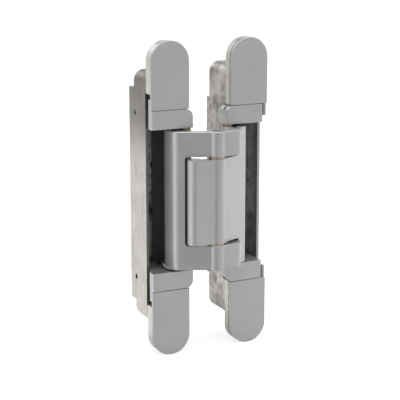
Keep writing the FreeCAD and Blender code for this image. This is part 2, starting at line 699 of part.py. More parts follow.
def arm_outline(side, leg_side, slope, reach):
    leg_x = size("leaf_edge") + leg_side
    rise = math.tan(math.radians(slope))
    flare = math.tan(math.radians(size("leg_side_slope")))
    # the corner is where the plate's face meets the leg's sloping side
    start = size("plate_front") + size("plate_end") * rise
    corner_x = (leg_x - flare * start) / (1 - flare * rise)
    corner_y = corner_x * rise - start
    leg_end = size("slide_depth")
    lean = Vector(math.sin(math.radians(slope)), math.cos(math.radians(slope)), 0)
    back_point = Vector(-size("plate_end"), -size("plate_front"), 0) + lean * size("plate_thickness")
    inner_leg = leg_x - size("leg_thickness")
    back_corner_y = back_point.y + (inner_leg + back_point.x) * rise
    nose_x, nose_y = nose_centre(reach)
    nose_radius = size("nose_radius")
    face_turn = math.radians(size("hook_slope"))
    face_end = (nose_x + nose_radius * math.sin(face_turn), nose_y - nose_radius * math.cos(face_turn))
    neck_outer = reach - size("nose_overhang")
    neck_inner = neck_outer - size("hook_neck")
    thickness = size("hook_thickness")
    corners = [
        (-size("slide_x") - size("pin_radius"), leg_end),
        (-leg_side_x(leg_side, size("leg_side_end")), size("leg_side_end")),
        (-corner_x, corner_y, size("leg_corner")),
        (-size("plate_end"), -size("plate_front")),
        (size("hook_start"), -size("hook_front")),
        face_end,
        (neck_outer, nose_y),
        (neck_outer, size("pivot_depth")),
        (neck_inner, size("pivot_depth")),
        (neck_inner, hook_face(neck_inner) + thickness, size("neck_rounding")),
        (size("hook_start"), -size("hook_front") + thickness),
        (0, -size("centre_reach")),
        (back_point.x, back_point.y),
        (-inner_leg, back_corner_y, size("leg_inner_corner")),
        (-inner_leg, leg_end),
    ]
    # the outer arm's leg is on the frame side, the inner arm is its mirror image
    placed = [(corner[0] * -side,) + tuple(corner[1:]) for corner in corners]
    return rounded_outline(placed)


def make_arm(label, side, leg_side, slope, reach):
    # side is -1 for the outer arm, whose leg is in the frame leaf
    body = new_body(label)
    full = "Sizes.arm_height"
    low = "-Sizes.arm_half"
    leg = (side * size("slide_x"), size("slide_depth"))
    hinge = (0, -size("centre_reach"))
    hook = (-side * size("pivot_x"), size("pivot_depth"))
    nose_x, nose_y = nose_centre(reach)
    add(body, label + "_outline", "XY", low, full, [arm_outline(side, leg_side, slope, reach)])
    add(body, label + "_slide_barrel", "XY", low, full,
        [circle_outline(leg[0], leg[1], size("slide_barrel"))])
    add(body, label + "_knuckle", "XY", low, full,
        [circle_outline(hinge[0], hinge[1], size("knuckle_radius"))])
    add(body, label + "_nose", "XY", low, full,
        [circle_outline(-side * nose_x, nose_y, size("nose_radius"))])
    add(body, label + "_pivot_barrel", "XY", low, full,
        [circle_outline(hook[0], hook[1], size("pivot_barrel"))])
    far = size("leaf_outer")
    top = size("arm_half") + size("overcut")
    radius = size("window_corner")
    if side < 0:
        edge = size("window_edge")
        half = size("window_half")
        window = [(-edge, -half, radius), (far, -half), (far, half), (-edge, half, radius)]
        opening = [rounded_outline(window)]
    else:
        edge = size("notch_edge")
        half = size("tongue_half")
        opening = [rounded_outline([(edge, end * half, radius), (-far, end * half), (-far, end * top),
                                    (edge, end * top)]) for end in (1, -1)]
    cut(body, label + "_opening", "XZ", "-Sizes.leaf_outer", "2 * Sizes.leaf_outer", opening)

    def on_rim(point):
        levels = (size("arm_half"),) if side > 0 else (size("arm_half"), size("window_half"))
        return any(near(abs(point.z), level) for level in levels)

    dress(body, label + "_rims", "Chamfer", on_rim, "Sizes.arm_edge")
    cut(body, label + "_slide_hole", "XY", low + " - Sizes.overcut", full + " + 2 * Sizes.overcut",
        [circle_outline(leg[0], leg[1], fixed_pin_hole())])
    cut(body, label + "_knuckle_hole", "XY", low + " - Sizes.overcut", full + " + 2 * Sizes.overcut",
        [circle_outline(hinge[0], hinge[1], size("centre_pin_radius") + size("running_clearance"))])
    cut(body, label + "_bush_hole", "XY", low + " - Sizes.overcut", full + " + 2 * Sizes.overcut",
        [circle_outline(hook[0], hook[1], size("bush_radius") + size("fixed_clearance"))])
    return body


# Build
upper_cover = make_cover("frame_upper_cover", -1)
lower_cover = mirrored("frame_lower_cover", upper_cover, UP)
door_upper_cover = mirrored("door_upper_cover", upper_cover, Vector(1, 0, 0))
door_lower_cover = mirrored("door_lower_cover", lower_cover, Vector(1, 0, 0))
frame_case = make_case("frame_case", -1, "frame_end_depth", "frame_deep_margin", "frame_depth")
door_case = make_case("door_case", 1, "door_end_depth", "door_deep_margin", "door_depth")
frame_upper_block = make_block("frame_upper_block", -1, size("frame_block_proud"), size("frame_block_inset"),
                               size("frame_bar_depth"), size("sliding_gap"))
frame_lower_block = mirrored("frame_lower_block", frame_upper_block, UP)
door_upper_block = make_block("door_upper_block", 1, size("door_block_proud"), size("door_block_inset"),
                              size("door_bar_depth"), size("side_travel") + size("sliding_gap"))
door_lower_block = mirrored("door_lower_block", door_upper_block, UP)
frame_guide = make_guide("frame_guide")
door_guide = mirrored("door_guide", frame_guide, Vector(1, 0, 0))
outer_arm = make_arm("outer_arm", -1, size("outer_leg_side"), size("outer_plate_slope"), size("lug_reach"))
inner_arm = make_arm("inner_arm", 1, size("inner_leg_side"), size("inner_plate_slope"), size("hook_reach"))

# Pins
pivot_length = "2 * (Sizes.block_face + Sizes.pivot_engagement)"
pivot_low = "-(Sizes.block_face + Sizes.pivot_engagement)"
frame_pin = cylinder("frame_pivot_pin", "Sizes.pin_radius", pivot_length,
                     ("-Sizes.pivot_x", "Sizes.pivot_depth", pivot_low))
door_pin = mirrored("door_pivot_pin", frame_pin, Vector(1, 0, 0))
slide_length = "2 * (Sizes.block_face + Sizes.slide_engagement)"
slide_low = "-(Sizes.block_face + Sizes.slide_engagement)"
outer_slide_pin = cylinder("outer_arm_slide_pin", "Sizes.pin_radius", slide_length,
                           ("-Sizes.slide_x", "Sizes.slide_depth", slide_low))
inner_slide_pin = mirrored("inner_arm_slide_pin", outer_slide_pin, Vector(1, 0, 0))
centre_rod = cylinder("centre_rod", "Sizes.centre_pin_radius", "Sizes.arm_height - 2 * Sizes.centre_pin_sink",
                      ("0", "-Sizes.centre_reach", "Sizes.centre_pin_sink - Sizes.arm_half"))
dimple_low = "Sizes.arm_half - Sizes.centre_pin_sink - Sizes.dimple_depth"
upper_dimple = cylinder("upper_dimple", "Sizes.dimple_radius", "Sizes.dimple_depth + Sizes.overcut",
                        ("0", "-Sizes.centre_reach", dimple_low))
lower_dimple = mirrored("lower_dimple", upper_dimple, UP)
centre_pin = cut_away("centre_pin", centre_rod, fuse("dimples", [upper_dimple, lower_dimple]))


# Washers and bushes: rings round a pin
def ring(name, inside, outside, length, place):
    disc = cylinder(name + "_disc", outside, length, place)
    hole = cylinder(name + "_hole", inside, length, place)
    return cut_away(name, disc, hole)


washer = ring("centre_washer", "Sizes.centre_pin_radius + Sizes.running_clearance",
              "Sizes.knuckle_radius - Sizes.centre_washer_inset", "Sizes.washer_thickness",
              ("0", "-Sizes.centre_reach", "Sizes.tongue_half + Sizes.axial_play"))
centre_washers = upper_and_lower("centre_washers", washer)
washer = ring("pivot_washer", "Sizes.pin_radius + Sizes.running_clearance",
              "Sizes.pivot_barrel - Sizes.pivot_washer_inset", "Sizes.washer_thickness",
              ("Sizes.pivot_x", "Sizes.pivot_depth", "Sizes.arm_half + Sizes.axial_play"))
door_pivot_washers = upper_and_lower("door_pivot_washers", washer)
# spacers hold the inner arm's hook midway between the frame blocks
spacer = ring("pivot_spacer", "Sizes.pin_radius + Sizes.running_clearance",
              "Sizes.pivot_barrel - Sizes.pivot_washer_inset",
              "Sizes.block_face - Sizes.tongue_half - 2 * Sizes.axial_play",
              ("-Sizes.pivot_x", "Sizes.pivot_depth", "Sizes.tongue_half + Sizes.axial_play"))
frame_pivot_spacers = upper_and_lower("frame_pivot_spacers", spacer)
bush = ring("lug_bush", "Sizes.pin_radius + Sizes.running_clearance", "Sizes.bush_radius",
            "Sizes.arm_half - Sizes.window_half",
            ("Sizes.pivot_x", "Sizes.pivot_depth", "Sizes.window_half"))
outer_arm_bushes = upper_and_lower("outer_arm_bushes", bush)
inner_arm_bush = ring("inner_arm_bush", "Sizes.pin_radius + Sizes.running_clearance", "Sizes.bush_radius",
                      "2 * Sizes.tongue_half", ("-Sizes.pivot_x", "Sizes.pivot_depth", "-Sizes.tongue_half"))


# Slide plates between the legs and the blocks
def make_slide_plates(name, side, leg_side):
    plate = new_body(name + "_upper")
    reach = size("pin_radius") + size("slide_plate_margin")
    rim = leg_side + size("slide_plate_rim")
    front = size("slide_plate_front")
    bend = size("leg_side_end")
    back = size("slide_depth") + reach
    inner = size("slide_x") - reach
    corners = [
        (inner, front), (leg_side_x(rim, front), front), (leg_side_x(rim, bend), bend),
        (size("slide_x") + reach, back), (inner, back),
    ]
    outline = rounded_outline([(side * x, y, size("slide_plate_corner")) for x, y in corners])
    hole = circle_outline(side * size("slide_x"), size("slide_depth"), fixed_pin_hole())
    add(plate, name + "_plate", "XY", "Sizes.arm_half + Sizes.axial_play", "Sizes.washer_thickness",
        [outline, hole])
    return upper_and_lower(name, plate)


outer_plates = make_slide_plates("outer_arm_slide_plates", -1, size("outer_leg_side"))
inner_plates = make_slide_plates("inner_arm_slide_plates", 1, size("inner_leg_side"))


# Screws under the covers and in the blocks
def capped_screw(name, x):
    z = "Sizes.adjuster_z"
    head = cylinder(name + "_head", "Sizes.adjuster_head_radius", "Sizes.adjuster_head_height",
                    (x, "Sizes.adjuster_front", z), "Y")
    shank = cylinder(name + "_shank", "Sizes.adjuster_radius", "Sizes.adjuster_length",
                     (x, "Sizes.adjuster_front", z), "Y")
    drive = socket(name + "_socket", "Sizes.head_socket_depth", (x, "Sizes.adjuster_front", z), "Y")
    return cut_away(name, fuse(name + "_solid", [head, shank]), drive)


frame_screws = upper_and_lower("frame_depth_screws", capped_screw("depth_screw", str(adjuster_x(-1))))
door_screws = upper_and_lower("door_clamp_screws", capped_screw("clamp_screw", str(adjuster_x(1))))
lock_start = "-Sizes.leaf_outer + Sizes.case_wall + Sizes.sliding_gap"
lock_place = (lock_start, "Sizes.side_hole_depth", "Sizes.side_hole_z")
lock_rod = cylinder("lock_rod", "Sizes.lock_screw_radius", "Sizes.lock_screw_length", lock_place, "X")
lock_drive = socket("lock_socket", "Sizes.rod_socket_depth", lock_place, "X")
lock_screw = cut_away("lock_screw", lock_rod, lock_drive)
frame_lock_screws = upper_and_lower("frame_lock_screws", lock_screw)
side_end = "Sizes.leaf_outer - Sizes.case_wall - Sizes.axial_play"
side_place = (side_end + " - Sizes.side_screw_length", "Sizes.side_screw_depth", "Sizes.side_screw_z")
side_rod = cylinder("side_rod", "Sizes.side_screw_radius", "Sizes.side_screw_length", side_place, "X")
side_drive = socket("side_socket", "Sizes.rod_socket_depth", side_place, "X")
side_screw = cut_away("side_screw", side_rod, side_drive)
door_side_screws = upper_and_lower("door_side_screws", side_screw)

NODES = [
    frame_case, door_case, upper_cover, lower_cover, door_upper_cover, door_lower_cover,
    frame_upper_block, frame_lower_block, door_upper_block, door_lower_block,
    frame_guide, door_guide, outer_arm, inner_arm, frame_pin, door_pin,
    outer_slide_pin, inner_slide_pin, centre_pin, centre_washers, door_pivot_washers,
    frame_pivot_spacers,
    outer_arm_bushes, inner_arm_bush, outer_plates, inner_plates,
    frame_screws, door_screws, frame_lock_screws, door_side_screws,
]

doc.recompute()
for item in doc.Objects:
    if "Invalid" in item.State or "Error" in item.State:
        raise RuntimeError("%s did not rebuild" % item.Label)
for node in NODES:
    if node.Shape.isNull() or not node.Shape.isValid():
        raise RuntimeError("%s has no valid shape" % node.Label)
for node in NODES:
    node.Shape.exportStep("parts/%s.step" % node.Label)
    print("%-24s %2d solids %9.1f mm3" % (node.Label, len(node.Shape.Solids), node.Shape.Volume))
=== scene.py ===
# %% [markdown]
# # A concealed door hinge
#
# This lesson dresses a concealed ("invisible") door hinge, opened flat. Two die-cast casings sink into
# the edges of a frame and a door, satin plates cover their screws, and two arms cross between them on a
# centre pin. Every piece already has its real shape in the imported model, so the lesson is about light and
# finishes: how satin plating, raw casting, moulded plastic and turned steel differ, although all of them
# are grey.

from math import cos, pi, radians, sin

import bmesh
import bpy
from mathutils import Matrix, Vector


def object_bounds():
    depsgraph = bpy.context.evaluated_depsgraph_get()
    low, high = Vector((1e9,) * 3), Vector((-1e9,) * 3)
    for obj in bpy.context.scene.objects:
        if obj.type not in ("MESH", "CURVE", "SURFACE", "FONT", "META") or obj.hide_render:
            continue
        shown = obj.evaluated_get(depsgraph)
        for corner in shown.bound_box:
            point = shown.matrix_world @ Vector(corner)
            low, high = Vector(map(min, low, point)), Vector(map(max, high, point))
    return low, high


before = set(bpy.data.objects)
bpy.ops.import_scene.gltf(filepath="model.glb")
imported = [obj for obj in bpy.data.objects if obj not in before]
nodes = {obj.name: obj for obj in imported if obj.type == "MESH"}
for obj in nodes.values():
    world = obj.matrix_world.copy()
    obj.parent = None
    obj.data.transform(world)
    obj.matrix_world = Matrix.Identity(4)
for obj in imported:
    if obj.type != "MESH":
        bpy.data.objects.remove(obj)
cad_low, cad_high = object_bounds()
print(len(nodes), "nodes, box", [round(1000 * v, 1) for v in cad_high - cad_low], "mm")

# %% [markdown]
# ## The camera
#
# The picture was taken from the left front, a little above the hinge, with a fairly long lens. The place
# and the lens were worked out from the upright edges and the round ends, which all have one width on the
# real hinge. A small shift keeps the upright edges nearly parallel, as a photographer's shift lens does.

# %% Camera
CAMERA_PLACE = (-0.28817, -0.58243, 0.14952)
CAMERA_TURN = radians(25.829)
CAMERA_DIP = radians(11.958)
CAMERA_LENS = 110.58
CAMERA_SHIFT = -0.06

camera = bpy.data.cameras.new("camera")
camera.sensor_width = 36
camera.lens = CAMERA_LENS
camera.shift_y = CAMERA_SHIFT
camera.clip_start = 0.01
camera_object = bpy.data.objects.new("camera", camera)
camera_object.location = CAMERA_PLACE
camera_object.rotation_euler = (pi / 2 - CAMERA_DIP, 0, -CAMERA_TURN)
bpy.context.scene.collection.objects.link(camera_object)
bpy.context.scene.camera = camera_object
bpy.context.scene.view_settings.view_transform = "Standard"
print("camera", camera_object.location, "lens", camera.lens)

# %% [markdown]
# ## Helpers for shader nodes
#
# A material in Blender is a small network. These helpers add a node with its settings, join two sockets
# and do one step of arithmetic, so that each finish below reads as a list of what it is made from.


# %% Node helpers
def add_node(tree, kind, **settings):
    """Adds a shader node of a kind and gives it its settings."""
    made = tree.nodes.new("ShaderNode" + kind)
    for name, value in settings.items():
        setattr(made, name, value)
    return made


def join(tree, source, target):
    """Joins an output socket to an input socket."""
    tree.links.new(source, target)


def set_inputs(node, **values):
    """Sets a node's inputs by name, with an underscore for each space."""
    for name, value in values.items():
        node.inputs[name.replace("_", " ")].default_value = value


def arithmetic(tree, operation, first, second):
    """One arithmetic step. Each side is a socket or a number."""
    made = add_node(tree, "Math", operation=operation)
    for place, side in enumerate((first, second)):
        if isinstance(side, (int, float)):
            made.inputs[place].default_value = side
        else:
            join(tree, side, made.inputs[place])
    return made.outputs[0]


def grey(level):
    """A neutral colour of one level, as a shader socket wants it."""
    return (level, level, level, 1)


# %% [markdown]
# ## Floor, world and lamps
#
# Satin metal shows its surroundings more than its own colour, so the studio matters as much as the paint.
# The world is white where a camera or a mirror ray meets it, and gives a softer light to everything else.
# The floor's white is partly its own glow and partly the light that reaches it. The second part is
# missing under the hinge, so the floor keeps the shadow. Mirror rays meet a dimmer glow, because the
# upright faces look down at it.
#
# Two soft panels stand at the sides, and a third hangs above and lights the tops and the rounded upper
# edges.

# %% World
world = bpy.data.worlds.new("studio")
world.use_nodes = True
bpy.context.scene.world = world
tree = world.node_tree
tree.nodes.clear()
rays = add_node(tree, "LightPath")
seen = arithmetic(tree, "MAXIMUM", rays.outputs["Is Camera Ray"], rays.outputs["Is Glossy Ray"])
seen_through = arithmetic(tree, "MAXIMUM", seen, rays.outputs["Is Transmission Ray"])
WORLD_LIGHT = 0.62
strength = add_node(tree, "MapRange")
set_inputs(strength, To_Min=WORLD_LIGHT, To_Max=1.0)
join(tree, seen_through, strength.inputs["Value"])
background = add_node(tree, "Background")
set_inputs(background, Color=grey(1))
join(tree, strength.outputs[0], background.inputs["Strength"])
join(tree, background.outputs[0], add_node(tree, "OutputWorld").inputs["Surface"])
print("world light", WORLD_LIGHT)

# %% Floor
FLOOR_WIDTH = 6.0
FLOOR_GLOW = 0.7
FLOOR_MIRRORED = 0.42
FLOOR_LIT = 0.5
FLOOR_COLOUR = 0.85

sheet = bmesh.new()
bmesh.ops.create_grid(sheet, x_segments=1, y_segments=1, size=FLOOR_WIDTH / 2)
bmesh.ops.translate(sheet, verts=sheet.verts, vec=(0, 0, cad_low.z))
floor_mesh = bpy.data.meshes.new("floor")
sheet.to_mesh(floor_mesh)
sheet.free()
floor = bpy.data.objects.new("floor", floor_mesh)
bpy.context.scene.collection.objects.link(floor)

paper = bpy.data.materials.new("pale_paper")
paper.use_nodes = True
tree = paper.node_tree
tree.nodes.clear()
rays = add_node(tree, "LightPath")
seen = arithmetic(tree, "MAXIMUM", rays.outputs["Is Camera Ray"], rays.outputs["Is Glossy Ray"])
plain = add_node(tree, "BsdfDiffuse")
set_inputs(plain, Color=grey(FLOOR_COLOUR))
shaded = add_node(tree, "BsdfDiffuse")
set_inputs(shaded, Color=grey(FLOOR_LIT))
level = add_node(tree, "MapRange")
set_inputs(level, To_Min=FLOOR_MIRRORED, To_Max=FLOOR_GLOW)
join(tree, rays.outputs["Is Camera Ray"], level.inputs["Value"])
glow = add_node(tree, "Emission")
set_inputs(glow, Color=grey(1))
join(tree, level.outputs[0], glow.inputs["Strength"])
white = add_node(tree, "AddShader")
join(tree, shaded.outputs[0], white.inputs[0])
join(tree, glow.outputs[0], white.inputs[1])
choice = add_node(tree, "MixShader")
join(tree, seen, choice.inputs[0])
join(tree, plain.outputs[0], choice.inputs[1])
join(tree, white.outputs[0], choice.inputs[2])
join(tree, choice.outputs[0], add_node(tree, "OutputMaterial").inputs["Surface"])
floor.data.materials.append(paper)
print("floor at", round(1000 * cad_low.z, 2), "mm")


# %% Lamps
def soft_panel(name, bearing, distance, middle, dip, width, height, glow):
    """A soft lamp panel that faces the hinge.

    Bearing 0 is straight in front and 90 is to the right. The middle is above the floor. A dip of 0 stands
    the panel upright and 90 lays it flat, shining down. A glow of 1 is white.
    """
    lamp = bpy.data.lights.new(name, "AREA")
    lamp.shape = "RECTANGLE"
    lamp.size = width
    lamp.size_y = height
    lamp.energy = glow * pi * width * height
    lamp_object = bpy.data.objects.new(name, lamp)
    angle = radians(bearing)
    lamp_object.location = (distance * sin(angle), -distance * cos(angle), cad_low.z + middle)
    lamp_object.rotation_euler = (pi / 2 - radians(dip), 0, angle)
    lamp_object.visible_camera = False
    bpy.context.scene.collection.objects.link(lamp_object)
    print("panel", name, [round(v, 2) for v in lamp_object.location], "m")


soft_panel("right_panel", bearing=75, distance=1.2, middle=0.5, dip=0, width=0.8, height=0.8, glow=1.6)
soft_panel("left_panel", bearing=-65, distance=1.4, middle=0.5, dip=0, width=0.6, height=0.8, glow=1.0)
soft_panel("top_panel", bearing=15, distance=0.08, middle=1.05, dip=88, width=1.2, height=0.6, glow=4.5)

# %% [markdown]
# Photographers stand white and black cards round a shiny product, so that its faces mirror something
# plain. These cards slope up from the floor. Only mirror rays meet them, so they cast no shadow and light
# nothing matt.


# %% Cards
def mirror_card(name, bearing, spread, near, far, glow):
    """A card that opens out from the hinge. Near and far are a distance and a height above the floor."""
    corners = bmesh.new()
    outline = []
    for (distance, height), side in ((near, -1), (far, -1), (far, 1), (near, 1)):
        angle = radians(bearing + side * spread)
        place = (distance * sin(angle), -distance * cos(angle), cad_low.z + height)
        outline.append(corners.verts.new(place))
    corners.faces.new(outline)
    mesh = bpy.data.meshes.new(name)
    corners.to_mesh(mesh)
    corners.free()
    card = bpy.data.objects.new(name, mesh)
    for ray in ("camera", "diffuse", "shadow", "transmission", "volume_scatter"):
        setattr(card, "visible_" + ray, False)
    coat = bpy.data.materials.new(name)
    coat.use_nodes = True
    tree = coat.node_tree
    tree.nodes.clear()
    shine = add_node(tree, "Emission")
    set_inputs(shine, Color=grey(1), Strength=glow)
    join(tree, shine.outputs[0], add_node(tree, "OutputMaterial").inputs["Surface"])
    mesh.materials.append(coat)
    bpy.context.scene.collection.objects.link(card)
    print("card", name, "at", bearing, "degrees")


LOW_NEAR = (0.07, 0.001)
mirror_card("dark_front_card", bearing=-24, spread=17, near=LOW_NEAR, far=(0.6, 0.22), glow=0.52)
mirror_card("white_right_card", bearing=94, spread=27, near=LOW_NEAR, far=(0.6, 0.3), glow=1.65)
mirror_card("white_left_card", bearing=-96, spread=32, near=LOW_NEAR, far=(0.6, 0.3), glow=1.7)
mirror_card("white_back_card", bearing=-155, spread=26, near=(0.05, 0.001), far=(0.8, 0.03), glow=1.6)
mirror_card("high_left_card", bearing=-167, spread=11, near=(0.7, 0.3), far=(0.9, 0.8), glow=2.6)
mirror_card("high_dark_card", bearing=170, spread=10, near=(0.8, 0.42), far=(0.9, 0.9), glow=0.25)
mirror_card("low_back_card", bearing=156, spread=24, near=(0.3, 0.001), far=(0.9, 0.38), glow=1.6)

# %% [markdown]
# ## Effects that several finishes share
#
# Grain, casting streaks, the painted shade inside a casing and the painted shade line at a seam come back in
# more than one finish. Each is a node group with named inputs: it is built once and placed with its own
# values.
# They all read Object coordinates, which are metres on the real hinge, so a grain of 0.4 mm stays 0.4 mm
# on every piece.


# %% Group helper
def new_group(name, inputs, outputs):
    """An empty shader node group with its sockets, and its input and output nodes."""
    group = bpy.data.node_groups.new(name, "ShaderNodeTree")
    for label, default in inputs.items():
        socket = group.interface.new_socket(label, in_out="INPUT", socket_type="NodeSocketFloat")
        socket.default_value = default
    for label in outputs:
        group.interface.new_socket(label, in_out="OUTPUT", socket_type="NodeSocketFloat")
    entry = group.nodes.new("NodeGroupInput")
    result = group.nodes.new("NodeGroupOutput")
    return group, entry, result


def noise(tree, vector, scale, detail=4.0, roughness=0.6):
    """A noise pattern on a vector, and its value."""
    made = add_node(tree, "TexNoise")
    set_inputs(made, Scale=scale, Detail=detail, Roughness=roughness)
    join(tree, vector, made.inputs["Vector"])
    return made


# %% [markdown]
# ### Fine grain
#
# Plated and blasted metal has a grain of a few tenths of a millimetre, plus cloudy patches of several
# millimetres. The two noises are mixed. The grain also goes out as a height, so that the light breaks on
# it.

# %% Fine grain group
grain_group, entry, result = new_group(
    "fine_grain", {"Grain per metre": 2500.0, "Cloud per metre": 90.0, "Cloud share": 0.5}, ("Tone", "Height")
)
place = add_node(grain_group, "TexCoord").outputs["Object"]
fine = noise(grain_group, place, 1.0, detail=3.0, roughness=0.7)
join(grain_group, entry.outputs["Grain per metre"], fine.inputs["Scale"])
cloud = noise(grain_group, place, 1.0, detail=2.0, roughness=0.5)
join(grain_group, entry.outputs["Cloud per metre"], cloud.inputs["Scale"])
blend = add_node(grain_group, "Mix", data_type="FLOAT")
join(grain_group, entry.outputs["Cloud share"], blend.inputs[0])
join(grain_group, fine.outputs["Fac"], blend.inputs[2])
join(grain_group, cloud.outputs["Fac"], blend.inputs[3])
join(grain_group, blend.outputs[0], result.inputs["Tone"])
join(grain_group, fine.outputs["Fac"], result.inputs["Height"])
print("group", grain_group.name)

# %% [markdown]
# ### Casting streaks
#
# Die-cast zinc that isn't polished keeps the flow of the metal: long soft streaks along the casing and
# darker stains. The streaks are a noise squeezed along Z by a Mapping node, and the stains are a coarse
# noise.

# %% Casting streaks group
streak_group, entry, result = new_group(
    "casting_streaks", {"Streak stretch": 0.12, "Streaks per metre": 420.0}, ("Streaks", "Stains", "Height")
)
place = add_node(streak_group, "TexCoord").outputs["Object"]
squeeze = add_node(streak_group, "CombineXYZ")
set_inputs(squeeze, X=1.0, Y=1.0)
join(streak_group, entry.outputs["Streak stretch"], squeeze.inputs["Z"])
stretched = add_node(streak_group, "Mapping")
join(streak_group, place, stretched.inputs["Vector"])
join(streak_group, squeeze.outputs[0], stretched.inputs["Scale"])
streaks = noise(streak_group, stretched.outputs[0], 1.0, detail=4.0, roughness=0.65)
join(streak_group, entry.outputs["Streaks per metre"], streaks.inputs["Scale"])
stains = noise(streak_group, place, 110.0, detail=5.0, roughness=0.7)
pits = noise(streak_group, place, 1600.0, detail=2.0, roughness=0.6)
join(streak_group, streaks.outputs["Fac"], result.inputs["Streaks"])
join(streak_group, stains.outputs["Fac"], result.inputs["Stains"])
relief = arithmetic(streak_group, "ADD", streaks.outputs["Fac"], pits.outputs["Fac"])
join(streak_group, relief, result.inputs["Height"])
print("group", streak_group.name)


# %% [markdown]
# ### The hollow of a casing
#
# Inside, a casing gets painted shade in place of the colours of its outer skin, mottled by streaks. The
# first mask is 1 in the box of the hollow, from the front edge of the casing's walls to its floor. The
# second one rises from 0 to 1 behind that edge, because the worn marks are deep inside and the rim is
# plain.

# %% Hollow group
hollow_group, entry, result = new_group(
    "casing_hollow",
    {"Middle": 0.0, "Half width": 0.01096, "Half height": 0.0498, "Front": 0.0079, "Floor": 0.0289},
    ("Inside", "Deep"),
)
axes = add_node(hollow_group, "SeparateXYZ")
join(hollow_group, add_node(hollow_group, "TexCoord").outputs["Object"], axes.inputs[0])
aside = arithmetic(hollow_group, "SUBTRACT", axes.outputs["X"], entry.outputs["Middle"])
aside = arithmetic(hollow_group, "ABSOLUTE", aside, 0.0)
within = arithmetic(hollow_group, "LESS_THAN", aside, entry.outputs["Half width"])
aloft = arithmetic(hollow_group, "ABSOLUTE", axes.outputs["Z"], 0.0)
aloft = arithmetic(hollow_group, "LESS_THAN", aloft, entry.outputs["Half height"])
within = arithmetic(hollow_group, "MULTIPLY", within, aloft)
inward = arithmetic(hollow_group, "SUBTRACT", axes.outputs["Y"], entry.outputs["Front"])
behind = arithmetic(hollow_group, "GREATER_THAN", inward, 0.0)
before = arithmetic(hollow_group, "LESS_THAN", axes.outputs["Y"], entry.outputs["Floor"])
behind = arithmetic(hollow_group, "MULTIPLY", behind, before)
join(hollow_group, arithmetic(hollow_group, "MULTIPLY", within, behind), result.inputs["Inside"])
deep = add_node(hollow_group, "MapRange", interpolation_type="SMOOTHSTEP")
set_inputs(deep, From_Min=0.001, From_Max=0.006)
join(hollow_group, inward, deep.inputs["Value"])
join(hollow_group, deep.outputs[0], result.inputs["Deep"])
print("group", hollow_group.name)


# %% [markdown]
# ### A line of painted shade
#
# Where two pieces meet, or a flange meets its casing, shade falls in a thin line. The group paints it
# as a dark line at a depth behind the front plane, and its factor is multiplied into a colour.

# %% Painted shade line group
shade_line_group, entry, result = new_group(
    "painted_shade_line", {"Depth": 0.002, "Half width": 0.0004, "Darkness": 0.7}, ("Factor",)
)
axes = add_node(shade_line_group, "SeparateXYZ")
join(shade_line_group, add_node(shade_line_group, "TexCoord").outputs["Object"], axes.inputs[0])
away = arithmetic(shade_line_group, "SUBTRACT", axes.outputs["Y"], entry.outputs["Depth"])
away = arithmetic(shade_line_group, "ABSOLUTE", away, 0.0)
away = arithmetic(shade_line_group, "DIVIDE", away, entry.outputs["Half width"])
fade = add_node(shade_line_group, "MapRange", interpolation_type="SMOOTHSTEP")
set_inputs(fade, From_Min=0.5, From_Max=1.0, To_Min=1.0, To_Max=0.0)
join(shade_line_group, away, fade.inputs["Value"])
drawn = arithmetic(shade_line_group, "MULTIPLY", fade.outputs[0], entry.outputs["Darkness"])
join(shade_line_group, arithmetic(shade_line_group, "SUBTRACT", 1.0, drawn), result.inputs["Factor"])
print("group", shade_line_group.name)


# %% [markdown]
# ## Satin metal
#
# Covers, pivot blocks and arms are plated and matt: a metal with a middling roughness. One finish serves
# them all, and what makes a bent arm lighter or darker than a flat cover is only what it mirrors.


# %% Satin metal
def place_group(tree, group, **values):
    """Puts a node group in a material with its own values."""
    made = add_node(tree, "Group", node_tree=group)
    set_inputs(made, **values)
    return made


def between(tree, value, low, high, reach=0.2):
    """Carries a noise to a range. It takes the noise from 0.5 - reach to 0.5 + reach."""
    made = add_node(tree, "MapRange")
    set_inputs(made, From_Min=0.5 - reach, From_Max=0.5 + reach, To_Min=low, To_Max=high)
    join(tree, value, made.inputs["Value"])
    return made.outputs[0]


def tinted(tree, value, dark, light):
    """Mixes two colours by a value of 0 to 1."""
    made = add_node(tree, "Mix", data_type="RGBA")
    made.inputs[6].default_value = (*dark, 1)
    made.inputs[7].default_value = (*light, 1)
    join(tree, value, made.inputs[0])
    return made.outputs[2]


def new_finish(name):
    """A material with an empty Principled shader, its tree and the shader."""
    material = bpy.data.materials.new(name)
    material.use_nodes = True
    return material, material.node_tree, material.node_tree.nodes["Principled BSDF"]


def add_bump(tree, shader, height, depth, strength):
    """A bump of a depth in metres that feeds the shader's normal."""
    bump = add_node(tree, "Bump")
    set_inputs(bump, Strength=strength, Distance=depth)
    join(tree, height, bump.inputs["Height"])
    join(tree, bump.outputs[0], shader.inputs["Normal"])


def shade_of(colour, factor):
    """A colour made lighter or darker."""
    return tuple(factor * v for v in colour)


def paint(tree, shader, tone, dark, light, rough_value, roughness, spread):
    """Feeds a colour that follows a tone, and a roughness that follows a value, to the shader."""
    join(tree, tinted(tree, tone, dark, light), shader.inputs["Base Color"])
    rough = between(tree, rough_value, roughness - spread, roughness + spread)
    join(tree, rough, shader.inputs["Roughness"])


def satin_metal(name, colour, roughness=0.4, spread=0.06):
    """Plated, blasted metal with a fine grain."""
    material, tree, shader = new_finish(name)
    grain = place_group(tree, grain_group, Grain_per_metre=2600.0, Cloud_per_metre=70.0, Cloud_share=0.45)
    tone = between(tree, grain.outputs["Tone"], 0.0, 1.0)
    dark = shade_of(colour, 1 - spread)
    light = shade_of(colour, 1 + spread)
    paint(tree, shader, tone, dark, light, grain.outputs["Tone"], roughness, 0.05)
    shader.inputs["Metallic"].default_value = 0.7
    add_bump(tree, shader, grain.outputs["Height"], 0.00004, 0.5)
    return material


